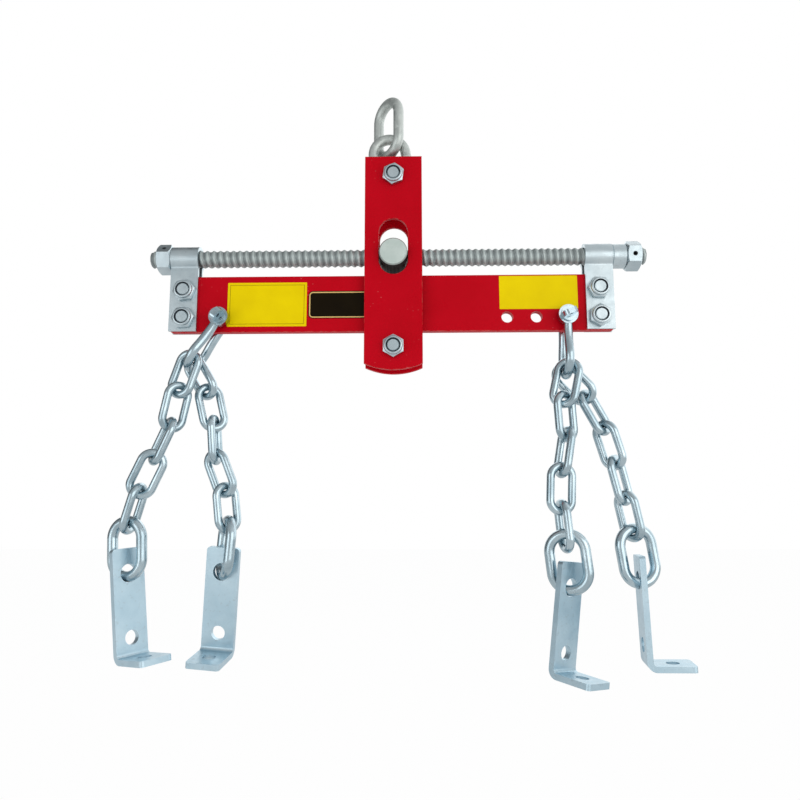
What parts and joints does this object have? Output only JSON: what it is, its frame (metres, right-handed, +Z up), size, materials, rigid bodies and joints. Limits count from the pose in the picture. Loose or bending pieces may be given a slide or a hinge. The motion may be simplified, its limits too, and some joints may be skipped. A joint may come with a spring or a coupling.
{
  "type": "engine load leveler",
  "caption": "Load leveler for lifting engines: red beam with lead screw and sliding carriage, lifting links, shackles, chains and engine brackets.",
  "frame": {"origin": "hook seat at the inside top of the upper lifting link", "axes": "+X along the beam to the right, +Y away from the viewer, +Z up"},
  "size_m": [0.5012, 0.0716, 0.526],
  "materials": {
    "red_paint": "glossy red enamel",
    "zinc_steel": "blue-white zinc plating",
    "screw_steel": "zinc plated rolled thread",
    "turned_steel": "turned and zinc plated",
    "galvanised_steel": "dull galvanised",
    "nylon": "dark nylon"
  },
  "bodies": {
    "upper_link": {"upper_lifting_link": "galvanised_steel"},
    "lower_link": {"lower_lifting_link": "galvanised_steel"},
    "carriage": {"front_carriage_plate": "red_paint", "rear_carriage_plate": "red_paint", "hanger_bolt": "zinc_steel", "hanger_lock_nut": "zinc_steel", "keeper_bolt": "zinc_steel", "keeper_lock_nut": "zinc_steel", "carriage_nylon_inserts": "nylon"},
    "trunnion": {"trunnion_nut": "turned_steel"},
    "beam": {"beam": "red_paint", "left_end_bracket": "zinc_steel", "right_end_bracket": "zinc_steel", "bracket_bolts": "zinc_steel", "bracket_lock_nuts": "zinc_steel", "bracket_nylon_inserts": "nylon"},
    "screw": {"lead_screw": "screw_steel", "left_drive_nut": "zinc_steel", "right_drive_nut": "zinc_steel", "drive_nut_pins": "zinc_steel", "thrust_collar": "zinc_steel"},
    "left_shackle": {"left_shackle": "zinc_steel", "left_shackle_pin": "zinc_steel"},
    "right_shackle": {"right_shackle": "zinc_steel", "right_shackle_pin": "zinc_steel"},
    "left_outer_link_1": {"left_outer_link_1": "zinc_steel"},
    "left_outer_link_2": {"left_outer_link_2": "zinc_steel"},
    "left_outer_link_3": {"left_outer_link_3": "zinc_steel"},
    "left_outer_link_4": {"left_outer_link_4": "zinc_steel"},
    "left_outer_link_5": {"left_outer_link_5": "zinc_steel"},
    "left_outer_end_link": {"left_outer_end_link": "zinc_steel"},
    "left_outer_engine_bracket": {"left_outer_engine_bracket": "zinc_steel"},
    "left_inner_link_1": {"left_inner_link_1": "zinc_steel"},
    "left_inner_link_2": {"left_inner_link_2": "zinc_steel"},
    "left_inner_link_3": {"left_inner_link_3": "zinc_steel"},
    "left_inner_link_4": {"left_inner_link_4": "zinc_steel"},
    "left_inner_link_5": {"left_inner_link_5": "zinc_steel"},
    "left_inner_end_link": {"left_inner_end_link": "zinc_steel"},
    "left_inner_engine_bracket": {"left_inner_engine_bracket": "zinc_steel"},
    "right_inner_link_1": {"right_inner_link_1": "zinc_steel"},
    "right_inner_link_2": {"right_inner_link_2": "zinc_steel"},
    "right_inner_link_3": {"right_inner_link_3": "zinc_steel"},
    "right_inner_link_4": {"right_inner_link_4": "zinc_steel"},
    "right_inner_link_5": {"right_inner_link_5": "zinc_steel"},
    "right_inner_end_link": {"right_inner_end_link": "zinc_steel"},
    "right_inner_engine_bracket": {"right_inner_engine_bracket": "zinc_steel"},
    "right_outer_link_1": {"right_outer_link_1": "zinc_steel"},
    "right_outer_link_2": {"right_outer_link_2": "zinc_steel"},
    "right_outer_link_3": {"right_outer_link_3": "zinc_steel"},
    "right_outer_link_4": {"right_outer_link_4": "zinc_steel"},
    "right_outer_link_5": {"right_outer_link_5": "zinc_steel"},
    "right_outer_end_link": {"right_outer_end_link": "zinc_steel"},
    "right_outer_engine_bracket": {"right_outer_engine_bracket": "zinc_steel"}
  },
  "joints": [
    {"name": "lower_link_swing", "type": "hinge", "parent": "upper_link", "child": "lower_link", "pos_m": [0.00109, -0.00129, -0.04716], "axis": [0, 1, 0], "range_deg": [-10, 10]},
    {"name": "carriage_swing", "type": "hinge", "parent": "lower_link", "child": "carriage", "pos_m": [0.0049, 0, -0.07275], "axis": [0, 1, 0], "range_deg": [-17, 17]},
    {"name": "beam_tilt", "type": "hinge", "parent": "carriage", "child": "trunnion", "pos_m": [0.0049, 0, -0.14775], "axis": [0, 1, 0], "range_deg": [-15, 15]},
    {"name": "beam_travel", "type": "slide", "parent": "trunnion", "child": "beam", "axis": [1, 0, 0], "range_m": [-0.0995, 0.0995]},
    {"name": "screw_spin", "type": "hinge", "parent": "beam", "child": "screw", "pos_m": [0, 0, -0.14775], "axis": [1, 0, 0], "range_deg": [-5990, 5990]},
    {"name": "left_shackle_swing", "type": "hinge", "parent": "beam", "child": "left_shackle", "pos_m": [-0.1509, 0, -0.20525], "axis": [0, 1, 0], "range_deg": [-45, 14]},
    {"name": "right_shackle_swing", "type": "hinge", "parent": "beam", "child": "right_shackle", "pos_m": [0.1593, 0, -0.20525], "axis": [0, 1, 0], "range_deg": [-40, 40]},
    {"name": "left_outer_link_1_swing", "type": "hinge", "parent": "left_shackle", "child": "left_outer_link_1", "pos_m": [-0.17868, -0.00538, -0.24802], "axis": [0.2621, 0.9613, -0.0852], "range_deg": [-1, 22]},
    {"name": "left_outer_link_2_swing", "type": "hinge", "parent": "left_outer_link_1", "child": "left_outer_link_2", "pos_m": [-0.18618, -0.00568, -0.27458], "axis": [-0.7061, 0.6947, 0.1373], "range_deg": [-4, 18]},
    {"name": "left_outer_link_3_swing", "type": "hinge", "parent": "left_outer_link_2", "child": "left_outer_link_3", "pos_m": [-0.19297, -0.00668, -0.30446], "axis": [-0.7447, -0.5878, 0.3161], "range_deg": [-6, 18]},
    {"name": "left_outer_link_4_swing", "type": "hinge", "parent": "left_outer_link_3", "child": "left_outer_link_4", "pos_m": [-0.20541, -0.0066, -0.33362], "axis": [-0.2518, 0.9613, 0.1121], "range_deg": [-1, 22]},
    {"name": "left_outer_link_5_swing", "type": "hinge", "parent": "left_outer_link_4", "child": "left_outer_link_5", "pos_m": [-0.21694, -0.00621, -0.3629], "axis": [-0.9565, 0.1392, 0.2563], "range_deg": [-6, 18]},
    {"name": "left_outer_end_link_swing", "type": "hinge", "parent": "left_outer_link_5", "child": "left_outer_end_link", "pos_m": [-0.22497, -0.00578, -0.39311], "axis": [0.292, 0.9563, 0.0153], "range_deg": [-1, 22]},
    {"name": "left_outer_engine_bracket_swing", "type": "hinge", "parent": "left_outer_end_link", "child": "left_outer_engine_bracket", "pos_m": [-0.22223, -0.006, -0.4317], "axis": [-0.9512, 0.292, -0.1], "range_deg": [-12, 12]},
    {"name": "left_inner_link_1_swing", "type": "hinge", "parent": "left_shackle", "child": "left_inner_link_1", "pos_m": [-0.17749, 0.00924, -0.24619], "axis": [-0.4793, -0.829, -0.288], "range_deg": [-1, 22]},
    {"name": "left_inner_link_2_swing", "type": "hinge", "parent": "left_inner_link_1", "child": "left_inner_link_2", "pos_m": [-0.16343, 0.01054, -0.27335], "axis": [0.4851, -0.866, 0.121], "range_deg": [-1, 22]},
    {"name": "left_inner_link_3_swing", "type": "hinge", "parent": "left_inner_link_2", "child": "left_inner_link_3", "pos_m": [-0.15719, 0.00989, -0.30301], "axis": [0.9956, -0.0349, 0.0871], "range_deg": [-6, 18]},
    {"name": "left_inner_link_4_swing", "type": "hinge", "parent": "left_inner_link_3", "child": "left_inner_link_4", "pos_m": [-0.15459, 0.01, -0.33262], "axis": [-0.3771, -0.9135, -0.1524], "range_deg": [-1, 22]},
    {"name": "left_inner_link_5_swing", "type": "hinge", "parent": "left_inner_link_4", "child": "left_inner_link_5", "pos_m": [-0.145, 0.01091, -0.36185], "axis": [0.714, -0.6947, 0.0877], "range_deg": [-6, 18]},
    {"name": "left_inner_end_link_swing", "type": "hinge", "parent": "left_inner_link_5", "child": "left_inner_end_link", "pos_m": [-0.14206, 0.01, -0.39308], "axis": [0.8808, 0.4695, -0.0616], "range_deg": [-6, 18]},
    {"name": "left_inner_engine_bracket_swing", "type": "hinge", "parent": "left_inner_end_link", "child": "left_inner_engine_bracket", "pos_m": [-0.14547, 0.01137, -0.43141], "axis": [-0.4586, 0.8782, 0.1359], "range_deg": [-12, 9]},
    {"name": "right_inner_link_1_swing", "type": "hinge", "parent": "right_shackle", "child": "right_inner_link_1", "pos_m": [0.15886, -0.00586, -0.25606], "axis": [0.3963, 0.9135, -0.0915], "range_deg": [0, 22]},
    {"name": "right_inner_link_2_swing", "type": "hinge", "parent": "right_inner_link_1", "child": "right_inner_link_2", "pos_m": [0.15453, -0.00684, -0.2846], "axis": [-0.6148, 0.788, -0.0322], "range_deg": [-4, 18]},
    {"name": "right_inner_link_3_swing", "type": "hinge", "parent": "right_inner_link_2", "child": "right_inner_link_3", "pos_m": [0.15476, -0.00789, -0.31474], "axis": [-0.9513, -0.2588, 0.1677], "range_deg": [-6, 18]},
    {"name": "right_inner_link_4_swing", "type": "hinge", "parent": "right_inner_link_3", "child": "right_inner_link_4", "pos_m": [0.14941, -0.00818, -0.34553], "axis": [-0.139, 0.9903, 0.0073], "range_deg": [-1, 22]},
    {"name": "right_inner_link_5_swing", "type": "hinge", "parent": "right_inner_link_4", "child": "right_inner_link_5", "pos_m": [0.14905, -0.008, -0.37716], "axis": [-0.9779, -0.1908, -0.0856], "range_deg": [-6, 18]},
    {"name": "right_inner_end_link_swing", "type": "hinge", "parent": "right_inner_link_5", "child": "right_inner_end_link", "pos_m": [0.15182, -0.00803, -0.40874], "axis": [0.3073, 0.9511, 0.0323], "range_deg": [-1, 22]},
    {"name": "right_inner_engine_bracket_swing", "type": "hinge", "parent": "right_inner_end_link", "child": "right_inner_engine_bracket", "pos_m": [0.1523, -0.00703, -0.44255], "axis": [-0.9463, 0.3018, 0.1162], "range_deg": [-12, 12]},
    {"name": "right_outer_link_1_swing", "type": "hinge", "parent": "right_shackle", "child": "right_outer_link_1", "pos_m": [0.15886, 0.00634, -0.25584], "axis": [-0.3657, -0.866, -0.341], "range_deg": [0, 20]},
    {"name": "right_outer_link_2_swing", "type": "hinge", "parent": "right_outer_link_1", "child": "right_outer_link_2", "pos_m": [0.17816, 0.00741, -0.27926], "axis": [0.6133, -0.7193, 0.3261], "range_deg": [-1, 22]},
    {"name": "right_outer_link_3_swing", "type": "hinge", "parent": "right_outer_link_2", "child": "right_outer_link_3", "pos_m": [0.19204, 0.00642, -0.30758], "axis": [0.7364, 0.6428, 0.2111], "range_deg": [-6, 18]},
    {"name": "right_outer_link_4_swing", "type": "hinge", "parent": "right_outer_link_3", "child": "right_outer_link_4", "pos_m": [0.20058, 0.00666, -0.33811], "axis": [0.7009, -0.6947, 0.1618], "range_deg": [-6, 18]},
    {"name": "right_outer_link_5_swing", "type": "hinge", "parent": "right_outer_link_4", "child": "right_outer_link_5", "pos_m": [0.20756, 0.00649, -0.36903], "axis": [0.8325, 0.5299, 0.1618], "range_deg": [-6, 18]},
    {"name": "right_outer_end_link_swing", "type": "hinge", "parent": "right_outer_link_5", "child": "right_outer_end_link", "pos_m": [0.21347, 0.00672, -0.40017], "axis": [0.2396, -0.9703, 0.0337], "range_deg": [-1, 20]},
    {"name": "right_outer_engine_bracket_swing", "type": "hinge", "parent": "right_outer_end_link", "child": "right_outer_engine_bracket", "pos_m": [0.21724, 0.00632, -0.43852], "axis": [-0.9703, -0.2405, -0.0254], "range_deg": [-12, 12]}
  ],
  "couplings": [
    {"joint": "screw_spin", "follows": "beam_travel", "rad_per_m": 1047.2}
  ]
}
